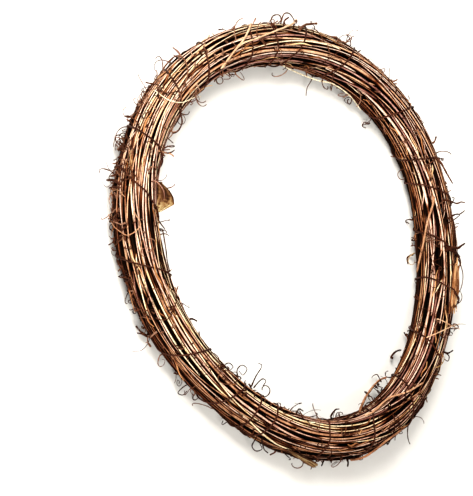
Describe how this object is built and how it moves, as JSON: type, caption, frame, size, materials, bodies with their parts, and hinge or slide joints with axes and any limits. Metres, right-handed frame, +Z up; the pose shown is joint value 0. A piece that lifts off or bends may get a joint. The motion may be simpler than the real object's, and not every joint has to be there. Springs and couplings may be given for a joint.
{
  "type": "grapevine wreath",
  "caption": "Round wreath of dry grapevine stems laid in a ring and bound with a spiral of dark wire, with curled tendrils and bark scraps.",
  "frame": {"origin": "middle of the hole, on the surface that the wreath lies on", "axes": "+Z up, along the axis of the ring; -Y towards the side that the picture shows nearest"},
  "size_m": [0.3105, 0.3082, 0.0377],
  "materials": {
    "vine_tan": "dry ridged bark, matt, light tan brown",
    "vine_brown": "dry ridged bark, matt, orange brown",
    "vine_straw": "peeled stem, smooth and slightly satin, straw",
    "vine_umber": "old bark, matt, dark umber",
    "bark": "papery peeled bark and dry sheath, matt, khaki brown",
    "wire": "dark red-brown coated binding wire, low sheen"
  },
  "bodies": {
    "root": {"outer_vine_01": "vine_tan", "outer_vine_02": "vine_brown", "outer_vine_03": "vine_straw", "outer_vine_04": "vine_umber", "outer_vine_05": "vine_tan", "outer_vine_06": "vine_brown", "outer_vine_07": "vine_straw", "outer_vine_08": "vine_umber", "outer_vine_09": "vine_tan", "outer_vine_10": "vine_brown", "outer_vine_11": "vine_straw", "outer_vine_12": "vine_umber", "outer_vine_13": "vine_tan", "outer_vine_14": "vine_brown", "outer_vine_15": "vine_straw", "outer_vine_16": "vine_umber", "outer_vine_17": "vine_tan", "outer_vine_18": "vine_brown", "outer_vine_19": "vine_straw", "outer_vine_20": "vine_umber", "outer_vine_21": "vine_tan", "outer_vine_22": "vine_brown", "outer_vine_23": "vine_straw", "outer_vine_24": "vine_umber", "outer_vine_25": "vine_tan", "outer_vine_26": "vine_brown", "middle_vine_01": "vine_umber", "middle_vine_02": "vine_umber", "middle_vine_03": "vine_umber", "middle_vine_04": "vine_umber", "middle_vine_05": "vine_umber", "middle_vine_06": "vine_umber", "middle_vine_07": "vine_umber", "middle_vine_08": "vine_umber", "middle_vine_09": "vine_umber", "middle_vine_10": "vine_umber", "core_vine_01": "vine_umber", "core_vine_02": "vine_umber", "core_vine_03": "vine_umber", "core_vine_04": "vine_umber", "core_vine_05": "vine_umber", "binding_wire": "wire", "peeled_bark": "bark", "cupped_flake": "bark", "pointed_sheath": "bark"}
  },
  "joints": []
}
